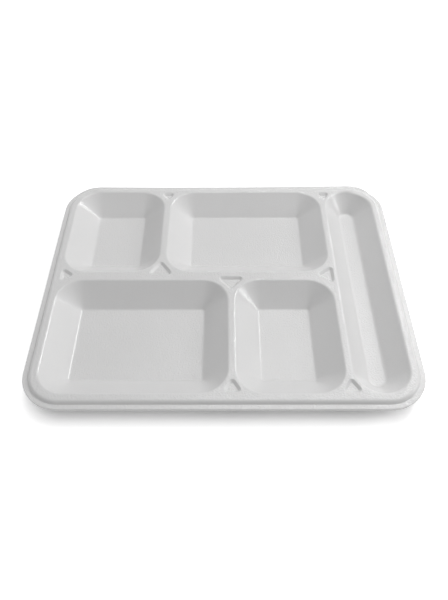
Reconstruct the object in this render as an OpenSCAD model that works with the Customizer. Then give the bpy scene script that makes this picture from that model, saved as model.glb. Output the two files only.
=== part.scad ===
// Compartment meal tray, pressed in one piece from foam sheet.
// Seen from above: +X runs to the right, +Y to the back, +Z up.
// The origin is on the resting face, under the middle of the outline.

/* [Outline] */
// Length from the left edge to the right edge
tray_l = 263.5; // [250:0.5:300]
// Width from the front edge to the back edge
tray_w = 212.4; // [200:0.1:240]
// Height from the resting face to the top of the rim
tray_h = 16; // [13:0.5:22]
// Thickness of the foam sheet
sheet_t = 2.2; // [1.6:0.1:2.8]
// Corner radius of the cut outer edge
edge_r = 27; // [22:0.5:32]

/* [Rim] */
// Width of the flat flange outside the step
flange_w = 3.4; // [2:0.1:5]
// Depth of the flange below the top of the rim
flange_drop = 2; // [1:0.1:3]
// Plan width of the step between flange and rim top
step_run = 1.6; // [1.2:0.1:3.5]
// Flat land between the step and the left compartments
land_left = 4.7; // [3:0.1:8]
// Flat land between the step and the slot on the right
land_right = 4.5; // [2:0.1:8]
// Flat land between the step and the front compartments
land_front = 5.3; // [3:0.1:8]
// Flat land between the step and the back compartments
land_back = 3.3; // [3:0.1:8]

/* [Compartments] */
// Length of the small compartment at the back left, at its top
back_left_l = 72.9; // [60:0.1:100]
// Length of the large compartment at the front left, at its top
front_left_l = 125.1; // [100:0.1:145]
// Width of the back row, at its top
back_row_w = 90.1; // [70:0.1:105]
// Plan width of the sloping walls of the four square compartments
wall_run = 17.5; // [12:0.1:19]
// Corner radius of their floors
floor_r = 1.7; // [1.4:0.1:6]
// Width of the floor of the cutlery slot
slot_floor_w = 11.9; // [8:0.1:16]
// Plan width of the sloping walls of the slot
slot_run = 13; // [10:0.1:15]

/* [Ribs] */
// Rib between the two back compartments
back_rib = 5.1; // [4:0.1:8]
// Rib between the two front compartments
front_rib = 4.7; // [4:0.1:8]
// Rib along the slot
slot_rib = 4.6; // [4:0.1:8]
// Rib between the front row and the back row
row_rib = 8.4; // [6:0.1:12]

/* [Bends] */
// Inside radius where a floor turns up into a wall
fold_r = 3; // [1:0.1:4]
// Radius on the hollow underside of every crest
crest_under_r = 0.4; // [0.2:0.1:0.6]
// Inside radius at the foot of the step
step_fold_r = 0.5; // [0.5:0.1:1.5]

/* [Stiffening recesses] */
// Depth of the triangular recesses in the web
recess_d = 1.6; // [1:0.1:2]
// Plan width of their sloping sides
recess_run = 1.9; // [1.2:0.1:2.1]
// Corner radius of their floors
recess_r = 0.4; // [0.3:0.1:0.8]
// Base and height of the triangle at the rib between the back compartments
back_tri = [21, 14.5];
// Base and height of the triangle at the rib between the front compartments
front_tri = [23.5, 13];
// Base and height of the triangle beside the slot
slot_tri = [18.5, 13.5];
// Base and height of the triangles along the front of the rim
rim_front_tri = [14.8, 11.8];
// Base and height of the triangles along the back of the rim
rim_back_tri = [13.4, 9.8];
// Base and height of the triangle on the left of the rim
rim_left_tri = [15.5, 10.2];

/* [Hidden] */
foam = [0.93, 0.925, 0.92];
$fn = 48;
eps = 0.01;
// Straight pieces in each bend
bend_steps = 3;
// How far a compartment's shell runs on into the web past its crest
shell_lap = 0.5;
// How far the web laps over that
web_lap = 0.25;

depth = tray_h - sheet_t;
step_a = atan2(flange_drop, step_run);
slot_w = slot_floor_w + 2 * slot_run;

// Edges of the land inside the step
in_x0 = -tray_l / 2 + flange_w + step_run;
in_x1 = -in_x0;
in_y0 = -tray_w / 2 + flange_w + step_run;
in_y1 = -in_y0;

// Edges of the compartments, measured at the top of the rim
left_x = in_x0 + land_left;
slot_x1 = in_x1 - land_right;
slot_x0 = slot_x1 - slot_w;
inner_x1 = slot_x0 - slot_rib;
front_y = in_y0 + land_front;
back_y = in_y1 - land_back;
row_y1 = back_y - back_row_w;
row_y0 = row_y1 - row_rib;

// Each compartment: x from, x to, y from, y to, wall run, floor radius
back_left = [left_x, left_x + back_left_l, row_y1, back_y, wall_run, floor_r];
back_right = [left_x + back_left_l + back_rib, inner_x1, row_y1, back_y, wall_run, floor_r];
front_left = [left_x, left_x + front_left_l, front_y, row_y0, wall_run, floor_r];
front_mid = [left_x + front_left_l + front_rib, inner_x1, front_y, row_y0, wall_run, floor_r];
slot = [slot_x0, slot_x1, front_y, back_y, slot_run, slot_floor_w / 2];
compartments = [back_left, back_right, front_left, front_mid, slot];

// Centre lines of the ribs
back_rib_x = left_x + back_left_l + back_rib / 2;
front_rib_x = left_x + front_left_l + front_rib / 2;
slot_rib_x = slot_x0 - slot_rib / 2;
row_rib_y = (row_y0 + row_y1) / 2;

// Each recess: middle of the base, direction of the point, base and height
recesses = [
    [[back_rib_x - 1, row_rib_y + 1], 90, back_tri],
    [[front_rib_x - 0.35, row_rib_y - 0.9], -90, front_tri],
    [[slot_rib_x - 0.1, row_rib_y + 1.2], 180, slot_tri],
    [[front_rib_x, front_y + 0.9], 90, rim_front_tri],
    [[slot_rib_x + 0.4, front_y + 0.9], 90, rim_front_tri],
    [[back_rib_x - 0.4, back_y - 0.3], -90, rim_back_tri],
    [[slot_rib_x + 1.5, back_y - 0.3], -90, rim_back_tri],
    [[left_x + 0.2, row_rib_y + 1.1], 0, rim_left_tri]
];

// Radius of the upper face in a bend with this turn and hollow-side radius
function upper_r(turn, inner) = turn > 0 ? inner : inner + sheet_t;

// Arc of a bend at corner p, on a line that lies off below the upper face
function bend(p, a_in, a_out, inner, off) =
    let (
        turn = a_out - a_in,
        s = sign(turn),
        r = upper_r(turn, inner),
        tl = r * tan(abs(turn) / 2),
        c = p - tl * [cos(a_in), sin(a_in)] + s * r * [-sin(a_in), cos(a_in)]
    )
    [for (k = [0:bend_steps])
        let (a = a_in + turn * k / bend_steps)
        c - s * (r + s * off) * [-sin(a), cos(a)]];

// Line of the sheet, flat at z0, sloping from x1 to x2, then flat at z1
function line(x0, x1, x2, x3, z0, z1, r1, r2, off) =
    let (a = atan2(z1 - z0, x2 - x1))
    concat(
        [[x0, z0 - off]],
        bend([x1, z0], 0, a, r1, off),
        bend([x2, z1], a, 0, r2, off),
        [[x3, z1 - off]]
    );

function reverse(v) = [for (i = [len(v) - 1:-1:0]) v[i]];

// Closed section of the sheet along the same line
function section(x0, x1, x2, x3, z0, z1, r1, r2) =
    concat(
        line(x0, x1, x2, x3, z0, z1, r1, r2, sheet_t),
        reverse(line(x0, x1, x2, x3, z0, z1, r1, r2, 0))
    );

// Plan length of the crest's rounding on the web for a wall at angle a
function crest_len(a) = (crest_under_r + sheet_t) * tan(a / 2);

// Section of a compartment wall, from the corner's centre outwards
function wall_section(run, r) =
    let (
        a = atan2(depth, run),
        fold = min(fold_r, 0.9 * r / tan(a / 2))
    )
    section(0, r, r + run, r + run + crest_len(a) + shell_lap,
        sheet_t, tray_h, fold, crest_under_r);

// Section of the rim, from the corner's centre outwards
rim_section = section(
    edge_r - flange_w - step_run - crest_len(step_a) - shell_lap,
    edge_r - flange_w - step_run,
    edge_r - flange_w,
    edge_r,
    tray_h,
    tray_h - flange_drop,
    crest_under_r,
    step_fold_r
);

// Sweeps a section round a rectangle whose corners are centred on x0..y1
module sweep_round(x0, x1, y0, y1, points) {
    corners = [[x1, y1, 0], [x0, y1, 90], [x0, y0, 180], [x1, y0, 270]];
    sides = [[x1, y0, y1 - y0, 0], [x1, y1, x1 - x0, 90], [x0, y1, y1 - y0, 180], [x0, y0, x1 - x0, 270]];
    for (c = corners)
        translate([c[0], c[1], 0])
            rotate([0, 0, c[2]])
                rotate_extrude(angle = 90)
                    polygon(points);
    for (s = sides)
        if (s[2] > eps)
            translate([s[0], s[1], 0])
                rotate([0, 0, s[3]])
                    rotate([90, 0, 0])
                        mirror([0, 0, 1])
                            linear_extrude(height = s[2])
                                polygon(points);
}

// Flat shape with rounded corners
module round_rect(x0, x1, y0, y1, r) {
    if (x1 - x0 - 2 * r > eps)
        translate([x0 + r, y0])
            square([x1 - x0 - 2 * r, y1 - y0]);
    if (y1 - y0 - 2 * r > eps)
        translate([x0, y0 + r])
            square([x1 - x0, y1 - y0 - 2 * r]);
    for (x = [x0 + r, x1 - r])
        for (y = [y0 + r, y1 - r])
            translate([x, y])
                circle(r);
}

// Floor and walls of one compartment
module compartment(c) {
    r = c[4] + c[5];
    cx0 = c[0] + r;
    cx1 = c[1] - r;
    cy0 = c[2] + r;
    cy1 = c[3] - r;
    color(foam) {
        sweep_round(cx0, cx1, cy0, cy1, wall_section(c[4], c[5]));
        if (cx1 - cx0 > eps)
            translate([cx0, cy0, 0])
                cube([cx1 - cx0, cy1 - cy0, sheet_t]);
    }
}

// Step and flange all round
module rim() {
    color(foam)
        sweep_round(-tray_l / 2 + edge_r, tray_l / 2 - edge_r,
            -tray_w / 2 + edge_r, tray_w / 2 - edge_r, rim_section);
}

// Flat web between the compartments and the step
module web() {
    inset = flange_w + step_run + crest_len(step_a) + web_lap;
    color(foam)
        translate([0, 0, tray_h - sheet_t])
            linear_extrude(height = sheet_t)
                difference() {
                    round_rect(-tray_l / 2 + inset, tray_l / 2 - inset,
                        -tray_w / 2 + inset, tray_w / 2 - inset, edge_r - inset);
                    for (c = compartments) {
                        g = crest_len(atan2(depth, c[4])) + web_lap;
                        round_rect(c[0] - g, c[1] + g, c[2] - g, c[3] + g, c[4] + c[5] + g);
                    }
                }
}

// Triangle with base and height size, drawn in by core, its corners rounded to r
function tri_ring(size, core, r, z) =
    let (
        b = size[0],
        h = size[1],
        rho = b * h / (b + 2 * norm([b / 2, h])),
        k = 1 - core / rho,
        beta = atan2(b / 2, h),
        v = [[-b / 2, 0], [b / 2, 0], [0, h]],
        from = [180 - beta, -90, beta],
        to = [270, beta, 180 - beta]
    )
    [for (i = [0:2]) for (j = [0:bend_steps])
        let (
            a = from[i] + (to[i] - from[i]) * j / bend_steps,
            p = [0, rho] + k * (v[i] - [0, rho])
        )
        [p[0] + r * cos(a), p[1] + r * sin(a), z]];

// Solid between two rings of the same number of points
module loft(lower, upper) {
    n = len(lower);
    polyhedron(
        points = concat(lower, upper),
        faces = concat(
            [[for (i = [0:n - 1]) i]],
            [for (i = [0:n - 1]) [i, n + i, n + (i + 1) % n, (i + 1) % n]],
            [[for (i = [n - 1:-1:0]) n + i]]
        )
    );
}

// Tapered triangular plug, grown by g sideways, its floor at the depth of a recess
module tri_plug(size, g, z_floor, z_top) {
    core = recess_r + recess_run;
    slope = recess_run / recess_d;
    r0 = recess_r + g;
    r1 = r0 + (z_top - z_floor) * slope;
    loft(tri_ring(size, core, r0, z_floor), tri_ring(size, core, r1, z_top));
}

// The hollows pressed into the web, or with g the foam under them
module recess_set(g, z_floor, z_top) {
    for (r = recesses)
        translate([r[0][0], r[0][1], 0])
            rotate([0, 0, r[1] - 90])
                tri_plug(r[2], g, z_floor, z_top);
}

module tray() {
    recess_a = atan2(recess_d, recess_run);
    difference() {
        union() {
            web();
            rim();
            for (c = compartments)
                compartment(c);
            color(foam)
                recess_set(sheet_t * tan(recess_a / 2), tray_h - recess_d - sheet_t, tray_h - sheet_t / 2);
        }
        recess_set(0, tray_h - recess_d, tray_h + 1);
    }
}

tray();
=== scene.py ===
"""Compartment meal tray pressed from white foam sheet, on a plain white table under soft light.

The sheet is one closed mesh. Its section is the same line everywhere, flat, a bend, a slope, a
bend and flat again, and is swept round each compartment, each small recess and the rim.
"""

import math

import bpy
from mathutils import Matrix, Vector, noise
from mathutils.geometry import delaunay_2d_cdt


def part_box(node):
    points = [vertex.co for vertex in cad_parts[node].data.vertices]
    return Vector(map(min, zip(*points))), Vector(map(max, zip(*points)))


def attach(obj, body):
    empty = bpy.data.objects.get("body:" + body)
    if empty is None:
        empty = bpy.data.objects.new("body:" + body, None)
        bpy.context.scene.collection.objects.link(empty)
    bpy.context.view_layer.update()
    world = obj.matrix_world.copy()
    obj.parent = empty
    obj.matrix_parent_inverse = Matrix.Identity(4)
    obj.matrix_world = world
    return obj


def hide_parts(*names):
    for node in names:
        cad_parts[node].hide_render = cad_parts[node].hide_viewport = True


bl_info = {
    "name": "Compartment meal tray",
    "version": (1, 0, 0),
    "blender": (4, 5, 0),
    "location": "3D View > Sidebar > Meal tray",
    "description": "Builds a foam compartment tray and the table it lies on",
    "category": "Add Mesh",
}

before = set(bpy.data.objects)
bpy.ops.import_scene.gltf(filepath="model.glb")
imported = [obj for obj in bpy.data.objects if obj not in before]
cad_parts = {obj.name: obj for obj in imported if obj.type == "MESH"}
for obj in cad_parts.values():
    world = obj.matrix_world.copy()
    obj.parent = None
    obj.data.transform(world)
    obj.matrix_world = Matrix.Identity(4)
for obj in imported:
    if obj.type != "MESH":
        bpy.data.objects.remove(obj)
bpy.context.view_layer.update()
CAD_LOW, CAD_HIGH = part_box("tray")
CAD_SIZE = CAD_HIGH - CAD_LOW

MM = 0.001
NODE = "tray"
PHOTO_HEIGHT = 600
SENSOR_WIDTH = 36.0

# Straight pieces in each bend of the sheet, of a small recess, and of the cut edge's two roundings
BEND_STEPS = 6
RECESS_BEND_STEPS = 4
EDGE_STEPS = 4
# Straight pieces in each quarter turn of a compartment and of the rim, and in each recess corner
TURN_STEPS = 14
RIM_TURN_STEPS = 18
RECESS_STEPS = 5
# Straight pieces up a compartment's wall and down the rim's step
WALL_STEPS = 4
STEP_STEPS = 2
# Longest gap between points along a straight edge and across a floor, and a floor's bare margin
EDGE_STEP = 5.0 * MM
FLOOR_STEP = 6.0 * MM
FLOOR_MARGIN = 2.0 * MM
# Extra line of points beside each bend, which keeps its shading off the flat faces
SUPPORT = 0.35 * MM
RECESS_SUPPORT = 0.1 * MM
# Most of a floor's corner radius that a bend may take up, so that its loops never turn over
FOLD_SHARE = 0.95
RECESS_FOLD_SHARE = 0.9
SMALLEST_RADIUS = 0.02 * MM
# Gaps in metres below which two corners, and two points of a flat area, count as one
SAME_POINT = 1e-6
MERGE_GAP = 1e-7

# Warp: how far the back crest sags, and the shares of the width where that starts and its length
SAG = 1.2 * MM
SAG_FROM = 0.2
SAG_OVER = 0.3
# Warp: the strip along the back edge curls up, by so much in its middle, more at the right than
# at the left, and more at both ends
CURL_STRIP = 9.0 * MM
CURL_BLEND = 7.0 * MM
CURL_MIDDLE = 0.3 * MM
CURL_RIGHT = 0.6 * MM
CURL_ENDS = 1.3 * MM
# Warp: height of small uneven waves, how many lie in a metre, and the slice of the noise
RIPPLE = 0.10 * MM
RIPPLES = 38.0
RIPPLE_LAYER = 3.7

# Foam: the upward part of a face's direction where the beads are weakest and where they are full,
# how much of them is left at the weakest, and how fine they are
BEADS_GONE = 0.93
BEADS_FULL = 0.995
BEADS_ON_WALLS = 0.2
BEAD_DETAIL = 1.5
# Foam: cloudy patches, how many lie in a metre, and how far they and the beads change the tone
CLOUDS = 22.0
DARKEST_TONE = 0.97
TONE_CHANGE = 0.03
SKIN_IOR = 1.5

# Table: glow by distance outside the tray's outline, as start, end, and brightness at each.
# The near glow is weak close to the outline, which paints shadow round the tray; the far glow
# makes the table plain white further out.
PAINTED_SHADOW_GLOW = (-8.0 * MM, 5.5 * MM, 0.13, 0.61)
FAR_GLOW = (3.0 * MM, 120.0 * MM, 0.0, 0.40)
# How far the table lies below the tray's resting face
TABLE_GAP = 0.05 * MM

# Middles of the lamps, in metres, and the camera's nearest sight
KEY_PLACE = (0.59, 0.63, 0.85)
HIGH_PLACE = (0.06, 0.42, 1.24)
SIDE_PLACE = (1.01, 0.03, 0.60)
CLIP_START = 0.01


def size_property(label, description, default, low=0.0, high=1.0):
    return bpy.props.FloatProperty(
        name=label, description=description, default=default, min=low, max=high,
        unit="LENGTH", precision=5,
    )


def number_property(label, description, default, low=0.0, high=100.0):
    return bpy.props.FloatProperty(
        name=label, description=description, default=default, min=low, max=high
    )


def angle_property(label, description, degrees):
    return bpy.props.FloatProperty(
        name=label, description=description, default=math.radians(degrees),
        subtype="ANGLE", unit="ROTATION",
    )


def place_property(label, default):
    return bpy.props.FloatProperty(
        name=label, description="Point that the camera looks at", default=default,
        unit="LENGTH", precision=5,
    )


def colour_property(label, description, default):
    return bpy.props.FloatVectorProperty(
        name=label, description=description, default=default, min=0.0, max=1.0,
        size=3, subtype="COLOR",
    )


class TraySizes(bpy.types.PropertyGroup):
    length: size_property("Length", "From the left edge to the right edge", CAD_SIZE.x)
    width: size_property("Width", "From the front edge to the back edge", CAD_SIZE.y)
    height: size_property("Height", "From the table to the top of the rim", CAD_SIZE.z)
    sheet: size_property("Sheet", "Thickness of the foam", 2.2 * MM)
    edge_radius: size_property("Edge radius", "Corner radius of the cut outer edge", 27.0 * MM)
    flange: size_property("Flange", "Width of the flat flange outside the step", 3.4 * MM)
    flange_drop: size_property("Flange drop", "Depth of the flange below the rim top", 2.0 * MM)
    step_run: size_property("Step run", "Plan width of the step", 1.6 * MM)
    land_left: size_property("Left land", "Flat land beside the left compartments", 4.7 * MM)
    land_right: size_property("Right land", "Flat land beside the slot", 4.5 * MM)
    land_front: size_property("Front land", "Flat land before the front compartments", 5.3 * MM)
    land_back: size_property("Back land", "Flat land behind the back compartments", 3.3 * MM)
    back_left: size_property("Back left compartment", "Its length at the rim top", 72.9 * MM)
    front_left: size_property("Front left compartment", "Its length at the rim top", 125.1 * MM)
    back_row: size_property("Back row", "Its width at the rim top", 90.1 * MM)
    wall_run: size_property("Wall run", "Plan width of the sloping walls", 17.5 * MM)
    floor_radius: size_property("Floor radius", "Corner radius of the floors", 1.7 * MM)
    slot_floor: size_property("Slot floor", "Width of the slot's floor", 11.9 * MM)
    slot_run: size_property("Slot wall run", "Plan width of the slot's walls", 13.0 * MM)
    back_rib: size_property("Back rib", "Rib between the back compartments", 5.1 * MM)
    front_rib: size_property("Front rib", "Rib between the front compartments", 4.7 * MM)
    slot_rib: size_property("Slot rib", "Rib along the slot", 4.6 * MM)
    row_rib: size_property("Row rib", "Rib between the front row and the back row", 8.4 * MM)
    fold: size_property("Fold", "Inside radius where a floor turns up into a wall", 3.0 * MM)
    crest: size_property("Crest", "Radius under every crest", 0.4 * MM)
    step_fold: size_property("Step fold", "Inside radius at the foot of the step", 0.5 * MM)
    edge_round: size_property("Edge rounding", "Rounding of the cut edge", 0.45 * MM)
    recess_depth: size_property("Recess depth", "Depth of the small triangular recesses", 1.6 * MM)
    recess_run: size_property("Recess run", "Plan width of their sloping sides", 1.9 * MM)
    recess_radius: size_property("Recess radius", "Corner radius of their floors", 0.4 * MM)
    recess_under: size_property(
        "Recess underside", "How far the foam under their sides stands out", 0.1 * MM
    )
    recess_round: size_property(
        "Recess rounding", "Rounding of their upper and lower edges", 0.45 * MM
    )


class FoamFinish(bpy.types.PropertyGroup):
    colour: colour_property("Foam", "Colour of the foam's skin", (0.80, 0.798, 0.797))
    roughness: number_property("Roughness", "Roughness of the foam's skin", 0.18, 0.0, 1.0)
    glow: number_property("Glow", "How much of the light spreads inside the foam", 0.25, 0.0, 1.0)
    glow_reach: size_property("Glow reach", "How far that light spreads", 4.0 * MM)
    bead: size_property("Bead", "Size of the foam's beads", 1.1 * MM)
    bead_depth: size_property("Bead depth", "Depth of the relief between the beads", 0.32 * MM)


class StageSettings(bpy.types.PropertyGroup):
    table_side: size_property("Table", "Side of the plain table", 6.0, 0.0, 50.0)
    sky: number_property("Sky", "Strength of the even light from all round", 0.32)
    key_power: number_property("Key power", "Watts of the lamp at the back right", 4.4)
    high_power: number_property("High power", "Watts of the lamp high at the back", 2.6)
    side_power: number_property("Side power", "Watts of the lamp on the right", 2.4)
    lamp_side: size_property("Lamp side", "Side of each lamp", 0.38, 0.0, 5.0)
    lens_pixels: number_property("Lens", "Focal length in photograph pixels", 563.7, 1.0, 5000.0)
    yaw: angle_property("Yaw", "Turn of the camera to the left", 0.18)
    pitch: angle_property("Pitch", "Tilt of the camera below level", 51.18)
    roll: angle_property("Roll", "Roll of the camera", -0.19)
    distance: size_property("Distance", "From the camera to its aim", 0.4255, 0.0, 10.0)
    target_x: place_property("Aim x", 0.0)
    target_y: place_property("Aim y", -0.00704)
    target_z: place_property("Aim z", 0.0)


class Compartment:
    """One compartment: its edges at the rim top, its walls' plan width and its floor radius."""

    def __init__(self, x0, x1, y0, y1, run, floor_radius):
        self.x0, self.x1, self.y0, self.y1 = x0, x1, y0, y1
        self.run, self.floor_radius = run, floor_radius

    def corners(self):
        """Centres of the four corners, anticlockwise from the back right."""
        r = self.run + self.floor_radius
        x0, x1, y0, y1 = self.x0 + r, self.x1 - r, self.y0 + r, self.y1 - r
        return [(x1, y1), (x0, y1), (x0, y0), (x1, y0)]


class Plan:
    """Where everything lies, worked out from the sizes in the same way as in the solid model."""

    def __init__(self, s):
        in_x = s.length / 2 - s.flange - s.step_run
        in_y = s.width / 2 - s.flange - s.step_run
        slot_width = s.slot_floor + 2 * s.slot_run
        left = -in_x + s.land_left
        slot_x1 = in_x - s.land_right
        slot_x0 = slot_x1 - slot_width
        inner = slot_x0 - s.slot_rib
        front = -in_y + s.land_front
        back = in_y - s.land_back
        row1 = back - s.back_row
        row0 = row1 - s.row_rib
        walls = (s.wall_run, s.floor_radius)
        split_back = left + s.back_left
        split_front = left + s.front_left
        self.compartments = [
            Compartment(left, split_back, row1, back, *walls),
            Compartment(split_back + s.back_rib, inner, row1, back, *walls),
            Compartment(left, split_front, front, row0, *walls),
            Compartment(split_front + s.front_rib, inner, front, row0, *walls),
            Compartment(slot_x0, slot_x1, front, back, s.slot_run, s.slot_floor / 2),
        ]
        back_x = split_back + s.back_rib / 2
        front_x = split_front + s.front_rib / 2
        slot_x = slot_x0 - s.slot_rib / 2
        row_y = (row0 + row1) / 2
        # Each recess: the middle of its base, where its tip points in degrees, its base and height
        self.recesses = [
            ((back_x - 1.0 * MM, row_y + 1.0 * MM), 90, (21 * MM, 14.5 * MM)),
            ((front_x - 0.35 * MM, row_y - 0.9 * MM), -90, (23.5 * MM, 13 * MM)),
            ((slot_x - 0.1 * MM, row_y + 1.2 * MM), 180, (18.5 * MM, 13.5 * MM)),
            ((front_x, front + 0.9 * MM), 90, (14.8 * MM, 11.8 * MM)),
            ((slot_x + 0.4 * MM, front + 0.9 * MM), 90, (14.8 * MM, 11.8 * MM)),
            ((back_x - 0.4 * MM, back - 0.3 * MM), -90, (13.4 * MM, 9.8 * MM)),
            ((slot_x + 1.5 * MM, back - 0.3 * MM), -90, (13.4 * MM, 9.8 * MM)),
            ((left + 0.2 * MM, row_y + 1.1 * MM), 0, (15.5 * MM, 10.2 * MM)),
        ]


def bend_arc(corner, angle_in, angle_out, inner, sheet, below, steps):
    """Points round one bend, on the line that lies below the sheet's upper face."""
    turn = angle_out - angle_in
    side = math.copysign(1.0, turn)
    radius = inner if turn > 0 else inner + sheet
    tangent = radius * math.tan(abs(turn) / 2)
    centre_x = corner[0] - tangent * math.cos(angle_in) - side * radius * math.sin(angle_in)
    centre_z = corner[1] - tangent * math.sin(angle_in) + side * radius * math.cos(angle_in)
    reach = side * radius + below
    points = []
    for k in range(steps + 1):
        angle = angle_in + turn * k / steps
        points.append((centre_x + reach * math.sin(angle), centre_z - reach * math.cos(angle)))
    return points


def between(a, b, share):
    return (a[0] + (b[0] - a[0]) * share, a[1] + (b[1] - a[1]) * share)


def sheet_line(
    foot, head, inner_radii, sheet, below, slope_steps, steps=BEND_STEPS, support=SUPPORT
):
    """The sheet's line: flat, a bend at foot, a slope, a bend at head and flat again.

    Each end lies one support past its bend.
    """
    slope = math.atan2(head[1] - foot[1], head[0] - foot[0])
    first = bend_arc(foot, 0.0, slope, inner_radii[0], sheet, below, steps)
    second = bend_arc(head, slope, 0.0, inner_radii[1], sheet, below, steps)
    a, b = first[-1], second[0]
    length = math.dist(a, b)
    middle = []
    if length > 3 * support:
        middle.append(between(a, b, support / length))
        middle += [between(a, b, k / slope_steps) for k in range(1, slope_steps)]
        middle.append(between(a, b, 1 - support / length))
    start = (first[0][0] - support, first[0][1])
    end = (second[-1][0] + support, second[-1][1])
    return [start] + first + middle + second + [end]


class SheetMesh:
    """Collects the points and faces of the sheet."""

    def __init__(self):
        self.points = []
        self.faces = []

    def add_loop(self, plan_points, z):
        start = len(self.points)
        self.points += [(x, y, z) for x, y in plan_points]
        return list(range(start, len(self.points)))

    def bridge(self, inner, outer, upward):
        """Faces between two loops of as many points, outer outside inner or below it."""
        count = len(inner)
        for i in range(count):
            j = (i + 1) % count
            quad = (inner[i], outer[i], outer[j], inner[j])
            self.faces.append(quad if upward else quad[::-1])

    def fill(self, outer, holes, extra, upward):
        """Faces of the flat area inside outer, outside the holes, through the extra points."""
        loops = [outer] + holes
        indices = [i for loop in loops for i in loop] + extra
        flat = [Vector(self.points[i][:2]) for i in indices]
        areas, start = [], 0
        for loop in loops:
            areas.append(list(range(start, start + len(loop))))
            start += len(loop)
        edges = []
        for area in areas:
            edges += zip(area, area[1:] + area[:1])
        result = delaunay_2d_cdt(flat, edges, areas, 0, MERGE_GAP)
        origins, sources = result[3], result[5]
        if len(result[0]) != len(flat):
            raise RuntimeError("the edges of a flat area cross each other")
        for face, source in zip(result[2], sources):
            if 0 in source and len(set(source)) == 1:
                triangle = tuple(indices[origins[v][0]] for v in face)
                self.faces.append(triangle if upward else triangle[::-1])


def round_loop(corners, radius, turn_steps=TURN_STEPS):
    """Points of a rectangle with rounded corners, anticlockwise, evenly split on its sides."""
    points = []
    for k, (cx, cy) in enumerate(corners):
        for i in range(turn_steps + 1):
            angle = math.pi / 2 * (k + i / turn_steps)
            points.append((cx + radius * math.cos(angle), cy + radius * math.sin(angle)))
        nx, ny = corners[(k + 1) % 4]
        gap = math.dist((cx, cy), (nx, ny))
        if gap < SAME_POINT:
            points.pop()
            continue
        pieces = max(1, round(gap / EDGE_STEP))
        end_angle = math.pi / 2 * (k + 1)
        off_x, off_y = radius * math.cos(end_angle), radius * math.sin(end_angle)
        for i in range(1, pieces):
            share = i / pieces
            points.append((cx + (nx - cx) * share + off_x, cy + (ny - cy) * share + off_y))
    return points


def triangle_loop(place, direction, size, core, radius, steps=RECESS_STEPS, sides=3):
    """Points of a triangle whose corners are rounded about the corners of its core."""
    base, high = size
    inner = base * high / (base + 2 * math.hypot(base / 2, high))
    share = 1 - core / inner
    lean = math.atan2(base / 2, high)
    tips = [(-base / 2, 0.0), (base / 2, 0.0), (0.0, high)]
    starts = [math.pi - lean, -math.pi / 2, lean]
    ends = [1.5 * math.pi, lean, math.pi - lean]
    turn = math.radians(direction - 90)
    flat = []
    for tip, start, end in zip(tips, starts, ends):
        x, y = share * tip[0], inner + share * (tip[1] - inner)
        for i in range(steps + 1):
            angle = start + (end - start) * i / steps
            flat.append((x + radius * math.cos(angle), y + radius * math.sin(angle)))
    spread = []
    for i, point in enumerate(flat):
        spread.append(point)
        if (i + 1) % (steps + 1) == 0:
            following = flat[(i + 1) % len(flat)]
            spread += [between(point, following, k / sides) for k in range(1, sides)]
    cos, sin = math.cos(turn), math.sin(turn)
    return [(place[0] + x * cos - y * sin, place[1] + x * sin + y * cos) for x, y in spread]


def floor_points(mesh, compartment, radius, z):
    """Evenly spread points inside a compartment's floor."""
    corners = compartment.corners()
    margin = FLOOR_MARGIN - radius
    x0, x1 = corners[1][0] + margin, corners[0][0] - margin
    y0, y1 = corners[2][1] + margin, corners[0][1] - margin
    if x1 < x0:
        x0 = x1 = (x0 + x1) / 2
    across = max(1, round((x1 - x0) / FLOOR_STEP))
    along = max(1, round((y1 - y0) / FLOOR_STEP))
    found = []
    for i in range(across + 1):
        for j in range(along + 1):
            if x1 == x0 and i:
                continue
            x = x0 + (x1 - x0) * i / across
            y = y0 + (y1 - y0) * j / along
            found.append(len(mesh.points))
            mesh.points.append((x, y, z))
    return found


def add_compartment(mesh, s, compartment, upper):
    """Floor and walls of one compartment, on one face of the sheet. Gives its outermost loop."""
    below = 0.0 if upper else s.sheet
    rise = s.height - s.sheet
    slope = math.atan2(rise, compartment.run)
    limit = (compartment.floor_radius - SUPPORT) / math.tan(slope / 2)
    fold = min(s.fold, FOLD_SHARE * limit)
    foot = (compartment.floor_radius, s.sheet)
    head = (compartment.floor_radius + compartment.run, s.height)
    line = sheet_line(foot, head, (fold, s.crest), s.sheet, below, WALL_STEPS)
    corners = compartment.corners()
    loops = [mesh.add_loop(round_loop(corners, q), z) for q, z in line]
    for inner, outer in zip(loops, loops[1:]):
        mesh.bridge(inner, outer, upper)
    extra = floor_points(mesh, compartment, line[0][0], line[0][1])
    mesh.fill(loops[0], [], extra, upper)
    return loops[-1]


def add_recess(mesh, s, recess, upper):
    """One small triangular recess, on one face of the sheet. Gives its outermost loop."""
    place, direction, size = recess
    core = s.recess_radius + s.recess_run
    slope = math.atan2(s.recess_depth, s.recess_run)
    below = 0.0 if upper else s.sheet
    shift = 0.0 if upper else s.recess_under
    foot = (s.recess_radius + shift, s.height - s.recess_depth - below)
    head = (s.recess_radius + s.recess_run + shift, s.height - below)
    most = RECESS_FOLD_SHARE * foot[0] / math.tan(slope / 2)
    radii = [min(s.recess_round, most)] * 2
    line = sheet_line(foot, head, radii, 0.0, 0.0, 1, RECESS_BEND_STEPS, RECESS_SUPPORT)
    line = [(max(q, SMALLEST_RADIUS), z) for q, z in line]
    loops = [mesh.add_loop(triangle_loop(place, direction, size, core, q), z) for q, z in line]
    for inner, outer in zip(loops, loops[1:]):
        mesh.bridge(inner, outer, upper)
    mesh.fill(loops[0], [], [], upper)
    return loops[-1]


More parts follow.
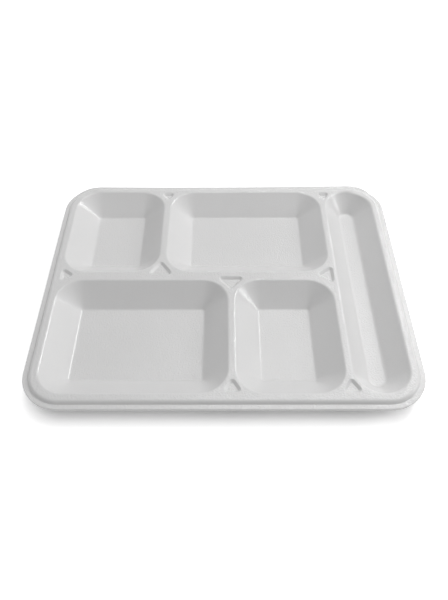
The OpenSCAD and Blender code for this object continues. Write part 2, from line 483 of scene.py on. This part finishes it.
def add_rim(mesh, s):
    """Step, flange and cut edge all round. Gives the innermost loops of its two faces."""
    r = s.edge_radius
    foot = (r - s.flange - s.step_run, s.height)
    head = (r - s.flange, s.height - s.flange_drop)
    radii = (s.crest, s.step_fold)
    over = sheet_line(foot, head, radii, s.sheet, 0.0, STEP_STEPS)
    under = sheet_line(foot, head, radii, s.sheet, s.sheet, STEP_STEPS)
    top, bottom = s.height - s.flange_drop, s.height - s.flange_drop - s.sheet
    e = s.edge_round
    edge = [(r - e - SUPPORT, top)]
    for k in range(EDGE_STEPS + 1):
        angle = math.pi / 2 * (1 - k / EDGE_STEPS)
        edge.append((r - e + e * math.cos(angle), top - e + e * math.sin(angle)))
    for k in range(EDGE_STEPS + 1):
        angle = -math.pi / 2 * k / EDGE_STEPS
        edge.append((r - e + e * math.cos(angle), bottom + e + e * math.sin(angle)))
    edge.append((r - e - SUPPORT, bottom))
    line = over + edge + under[::-1]
    x, y = s.length / 2 - r, s.width / 2 - r
    corners = [(x, y), (-x, y), (-x, -y), (x, -y)]
    loops = [mesh.add_loop(round_loop(corners, q, RIM_TURN_STEPS), z) for q, z in line]
    for inner, outer in zip(loops, loops[1:]):
        mesh.bridge(inner, outer, True)
    return loops[0], loops[-1]


def within_one(value):
    return min(max(value, 0.0), 1.0)


def settle(point, s):
    """Slight warp of the pressed sheet, none at the floors that it rests on."""
    x, y, z = point
    share = within_one((z - s.sheet) / (s.height - s.sheet - s.flange_drop))
    share = share * share * (3 - 2 * share)
    back = within_one((y - s.width * SAG_FROM) / (s.width * SAG_OVER))
    rim = within_one((y - s.width / 2 + CURL_STRIP) / CURL_BLEND)
    side = 2 * x / s.length
    sag = -SAG * back * back * (1 - rim) * max(0.0, 1 - side ** 4)
    curl = (CURL_MIDDLE + CURL_RIGHT * side + CURL_ENDS * side * side) * rim
    ripple = RIPPLE * noise.noise(Vector((x * RIPPLES, y * RIPPLES, RIPPLE_LAYER)))
    return (x, y, z + share * (sag + curl + ripple))


class MEAL_TRAY_OT_foam_tray(bpy.types.Operator):
    """Build the foam tray, one closed sheet with five compartments and a stepped rim"""

    bl_idname = "meal_tray.foam_tray"
    bl_label = "Foam tray"

    def execute(self, context):
        s = context.scene.meal_tray_sizes
        plan = Plan(s)
        mesh = SheetMesh()
        rim_over, rim_under = add_rim(mesh, s)
        for upper, rim_loop in ((True, rim_over), (False, rim_under)):
            holes = [add_compartment(mesh, s, c, upper) for c in plan.compartments]
            holes += [add_recess(mesh, s, r, upper) for r in plan.recesses]
            mesh.fill(rim_loop, holes, [], upper)
        data = bpy.data.meshes.new("foam_tray")
        data.from_pydata([settle(p, s) for p in mesh.points], [], mesh.faces)
        if data.validate():
            raise RuntimeError("the tray's mesh has faces that don't hold together")
        data.shade_smooth()
        tray = bpy.data.objects.new("foam_tray", data)
        context.scene.collection.objects.link(tray)
        data.materials.append(foam_material(context.scene.meal_tray_finish))
        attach(tray, "root")
        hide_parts(NODE)
        return {"FINISHED"}


class Wire:
    """Wraps one socket of a material's nodes, so that shader maths reads as Python."""

    def __init__(self, tree, socket):
        self.tree = tree
        self.socket = socket

    def maths(self, operation, a, b):
        return add_node(self.tree, "ShaderNodeMath", {"operation": operation}, 0, i0=a, i1=b)

    def __add__(self, other):
        return self.maths("ADD", self, other)

    def __radd__(self, other):
        return self.maths("ADD", other, self)

    def __sub__(self, other):
        return self.maths("SUBTRACT", self, other)

    def __rsub__(self, other):
        return self.maths("SUBTRACT", other, self)

    def __mul__(self, other):
        return self.maths("MULTIPLY", self, other)

    def __rmul__(self, other):
        return self.maths("MULTIPLY", other, self)

    def at_least(self, other):
        return self.maths("MAXIMUM", self, other)


def add_node(tree, kind, settings=None, output=0, **inputs):
    """One node in a tree. Its settings are made first, then its sockets are set or linked.

    A socket is named by its place, such as i0, or by its name with _ for a space.
    """
    node = tree.nodes.new(kind)
    for name, value in (settings or {}).items():
        setattr(node, name, value)
    for name, value in inputs.items():
        if name[0] == "i" and name[1:].isdigit():
            socket = node.inputs[int(name[1:])]
        else:
            socket = node.inputs[name.replace("_", " ")]
        if isinstance(value, Wire):
            tree.links.new(value.socket, socket)
        else:
            socket.default_value = value
    return Wire(tree, node.outputs[output])


def new_material(name):
    """An empty material, its node tree and its output node."""
    material = bpy.data.materials.new(name)
    material.use_nodes = True
    tree = material.node_tree
    tree.nodes.clear()
    surface = tree.nodes.new("ShaderNodeOutputMaterial")
    return material, tree, surface


def smooth_ramp(tree, value, start, end, low, high):
    """low up to start, high from end on, and a smooth change between them."""
    return add_node(
        tree, "ShaderNodeMapRange", {"interpolation_type": "SMOOTHSTEP"}, 0,
        Value=value, i1=start, i2=end, i3=low, i4=high,
    )


def foam_material(finish):
    """White foam with a pressed skin: fine beads on the level parts, soft gloss all over."""
    material, tree, surface = new_material("foam_skin")
    place = add_node(tree, "ShaderNodeTexCoord", None, 3)
    facing = add_node(tree, "ShaderNodeNewGeometry", None, 1)
    upright = add_node(tree, "ShaderNodeSeparateXYZ", None, 2, Vector=facing)
    level = smooth_ramp(tree, upright, BEADS_GONE, BEADS_FULL, BEADS_ON_WALLS, 1.0)
    beads = add_node(
        tree, "ShaderNodeTexNoise", None, 0,
        Vector=place, Scale=1.0 / finish.bead, Detail=BEAD_DETAIL, Roughness=0.5,
    )
    cloud = add_node(
        tree, "ShaderNodeTexNoise", None, 0,
        Vector=place, Scale=CLOUDS, Detail=2.0, Roughness=0.5,
    )
    bump = add_node(
        tree, "ShaderNodeBump", None, 0,
        Strength=1.0, Distance=finish.bead_depth, Height=(beads - 0.5) * level,
    )
    tone = DARKEST_TONE + cloud * TONE_CHANGE + beads * TONE_CHANGE
    base = add_node(
        tree, "ShaderNodeMix", {"data_type": "RGBA", "blend_type": "MULTIPLY"}, 2,
        i0=1.0, i6=(*finish.colour, 1.0), i7=grey(tree, tone),
    )
    shader = add_node(
        tree, "ShaderNodeBsdfPrincipled", None, 0,
        Base_Color=base, Roughness=finish.roughness, IOR=SKIN_IOR, Normal=bump,
        Subsurface_Weight=finish.glow, Subsurface_Radius=(1.0, 1.0, 1.0),
        Subsurface_Scale=finish.glow_reach,
    )
    tree.links.new(shader.socket, surface.inputs["Surface"])
    return material


def grey(tree, value):
    """A colour whose three channels are this value."""
    return add_node(tree, "ShaderNodeCombineColor", None, 0, Red=value, Green=value, Blue=value)


def seen_directly(tree):
    """1 for rays from the camera and for reflections and see-through rays, otherwise 0."""
    path = tree.nodes.new("ShaderNodeLightPath")
    camera = Wire(tree, path.outputs["Is Camera Ray"])
    glossy = Wire(tree, path.outputs["Is Glossy Ray"])
    through = Wire(tree, path.outputs["Is Transmission Ray"])
    return camera.at_least(glossy).at_least(through)


def vector_maths(tree, operation, output, **inputs):
    return add_node(tree, "ShaderNodeVectorMath", {"operation": operation}, output, **inputs)


def table_material(radius):
    """White table with the tray's shadow, partly real and partly painted, plain white further out.

    It glows by its distance outside the tray's outline, whose corners have this radius. The glow
    is weak near the outline, which paints shadow round the tray.
    """
    material, tree, surface = new_material("white_table")
    place = add_node(tree, "ShaderNodeTexCoord", None, 3)
    half = (CAD_SIZE.x / 2 - radius, CAD_SIZE.y / 2 - radius, 1.0)
    quarter = vector_maths(tree, "ABSOLUTE", 0, i0=place)
    past = vector_maths(tree, "SUBTRACT", 0, i0=quarter, i1=half)
    corner = vector_maths(tree, "MAXIMUM", 0, i0=past, i1=(0.0, 0.0, 0.0))
    outside = vector_maths(tree, "LENGTH", 1, i0=corner) - radius
    # Painted shadow: little glow close to the tray's outline, more further out
    painted_shadow_glow = smooth_ramp(tree, outside, *PAINTED_SHADOW_GLOW)
    far = smooth_ramp(tree, outside, *FAR_GLOW)
    glow = add_node(
        tree, "ShaderNodeEmission", None, 0,
        Color=grey(tree, (painted_shadow_glow + far) * seen_directly(tree)), Strength=1.0,
    )
    plain = add_node(tree, "ShaderNodeBsdfDiffuse", None, 0, Color=(1.0, 1.0, 1.0, 1.0))
    both = add_node(tree, "ShaderNodeAddShader", None, 0, i0=plain, i1=glow)
    tree.links.new(both.socket, surface.inputs["Surface"])
    return material


def white_world(strength):
    """Even light of this strength from all round, which the camera sees as plain white."""
    world = bpy.data.worlds.new("white_room")
    world.use_nodes = True
    tree = world.node_tree
    tree.nodes.clear()
    surface = tree.nodes.new("ShaderNodeOutputWorld")
    seen = seen_directly(tree)
    glow = add_node(
        tree, "ShaderNodeBackground", None, 0,
        Color=grey(tree, strength + seen * (1.0 - strength)), Strength=1.0,
    )
    tree.links.new(glow.socket, surface.inputs["Surface"])
    return world


def add_lamp(scene, name, place, side, power):
    """A square lamp at place that points at the middle of the table."""
    data = bpy.data.lights.new(name, "AREA")
    data.shape = "SQUARE"
    data.size = side
    data.energy = power
    lamp = bpy.data.objects.new(name, data)
    scene.collection.objects.link(lamp)
    turn = Vector(place).to_track_quat("Z", "Y").to_matrix().to_4x4()
    lamp.matrix_world = Matrix.Translation(Vector(place)) @ turn


def camera_matrix(t):
    """Place and turn of the camera from its yaw, pitch and roll about the point it looks at."""
    ahead = Vector((-math.sin(t.yaw), math.cos(t.yaw), 0.0))
    right = Vector((math.cos(t.yaw), math.sin(t.yaw), 0.0))
    up = Vector((0.0, 0.0, 1.0))
    forward = math.cos(t.pitch) * ahead - math.sin(t.pitch) * up
    top = math.sin(t.pitch) * ahead + math.cos(t.pitch) * up
    side = math.cos(t.roll) * right + math.sin(t.roll) * top
    rise = -math.sin(t.roll) * right + math.cos(t.roll) * top
    place = Vector((t.target_x, t.target_y, t.target_z)) - t.distance * forward
    turn = Matrix((side, rise, -forward)).transposed().to_4x4()
    return Matrix.Translation(place) @ turn


class MEAL_TRAY_OT_stage(bpy.types.Operator):
    """Set the plain white table, the soft light and the camera"""

    bl_idname = "meal_tray.stage"
    bl_label = "Table, light and camera"

    def execute(self, context):
        scene = context.scene
        t = scene.meal_tray_stage
        half = t.table_side / 2
        corners = [(-half, -half, 0.0), (half, -half, 0.0), (half, half, 0.0), (-half, half, 0.0)]
        data = bpy.data.meshes.new("table")
        data.from_pydata(corners, [], [(0, 1, 2, 3)])
        table = bpy.data.objects.new("table", data)
        table.location.z = CAD_LOW.z - TABLE_GAP
        data.materials.append(table_material(scene.meal_tray_sizes.edge_radius))
        scene.collection.objects.link(table)
        scene.world = white_world(t.sky)
        add_lamp(scene, "key_lamp", KEY_PLACE, t.lamp_side, t.key_power)
        add_lamp(scene, "high_lamp", HIGH_PLACE, t.lamp_side, t.high_power)
        add_lamp(scene, "side_lamp", SIDE_PLACE, t.lamp_side, t.side_power)
        camera_data = bpy.data.cameras.new("camera")
        camera_data.sensor_width = SENSOR_WIDTH
        camera_data.lens = t.lens_pixels / PHOTO_HEIGHT * SENSOR_WIDTH
        camera_data.clip_start = CLIP_START
        camera = bpy.data.objects.new("camera", camera_data)
        scene.collection.objects.link(camera)
        camera.matrix_world = camera_matrix(t)
        scene.camera = camera
        scene.view_settings.view_transform = "Standard"
        return {"FINISHED"}


class MEAL_TRAY_PT_panel(bpy.types.Panel):
    """Sizes, finish and buttons of the tray"""

    bl_idname = "MEAL_TRAY_PT_panel"
    bl_label = "Meal tray"
    bl_space_type = "VIEW_3D"
    bl_region_type = "UI"
    bl_category = "Meal tray"

    def draw(self, context):
        groups = (
            ("Tray", context.scene.meal_tray_sizes),
            ("Foam", context.scene.meal_tray_finish),
            ("Stage", context.scene.meal_tray_stage),
        )
        for title, group in groups:
            box = self.layout.box()
            box.label(text=title)
            for name in group.__annotations__:
                box.prop(group, name)
        self.layout.operator(MEAL_TRAY_OT_foam_tray.bl_idname)
        self.layout.operator(MEAL_TRAY_OT_stage.bl_idname)


CLASSES = (
    TraySizes,
    FoamFinish,
    StageSettings,
    MEAL_TRAY_OT_foam_tray,
    MEAL_TRAY_OT_stage,
    MEAL_TRAY_PT_panel,
)


def register():
    for cls in CLASSES:
        bpy.utils.register_class(cls)
    bpy.types.Scene.meal_tray_sizes = bpy.props.PointerProperty(type=TraySizes)
    bpy.types.Scene.meal_tray_finish = bpy.props.PointerProperty(type=FoamFinish)
    bpy.types.Scene.meal_tray_stage = bpy.props.PointerProperty(type=StageSettings)


def unregister():
    del bpy.types.Scene.meal_tray_stage
    del bpy.types.Scene.meal_tray_finish
    del bpy.types.Scene.meal_tray_sizes
    for cls in reversed(CLASSES):
        bpy.utils.unregister_class(cls)


def main():
    register()
    bpy.ops.meal_tray.foam_tray()
    bpy.ops.meal_tray.stage()


if __name__ == "__main__":
    main()
